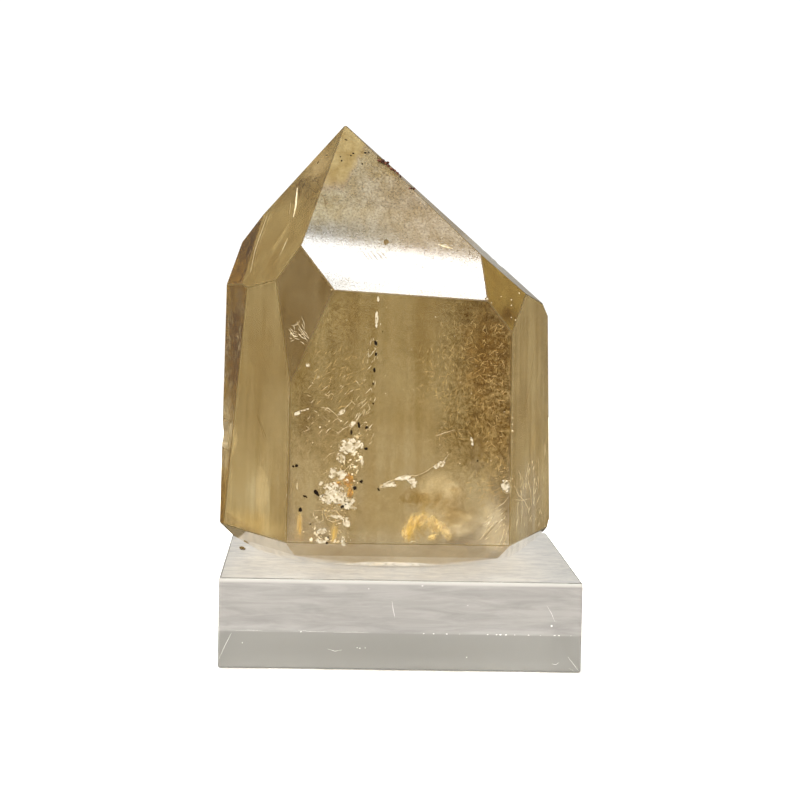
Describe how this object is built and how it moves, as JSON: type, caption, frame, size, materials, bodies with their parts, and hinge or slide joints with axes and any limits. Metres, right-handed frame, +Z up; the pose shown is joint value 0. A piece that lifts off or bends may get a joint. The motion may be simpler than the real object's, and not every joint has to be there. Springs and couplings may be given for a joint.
{
  "type": "citrine crystal point on a display block",
  "caption": "Polished golden-brown citrine point with a slanting, off-centre tip and a rounded foot, resting on a clear square acrylic display block.",
  "frame": {"origin": "middle of the display block's underside", "axes": "+Z up through the crystal's length, -Y towards the viewer of the crystal's broad front face, +X to that viewer's right"},
  "size_m": [0.0779, 0.0762, 0.1148],
  "materials": {
    "citrine": "polished, see-through golden brown quartz with cloudy veils",
    "acrylic": "clear polished acrylic"
  },
  "bodies": {
    "root": {"citrine_crystal": "citrine", "display_block": "acrylic"}
  },
  "joints": []
}
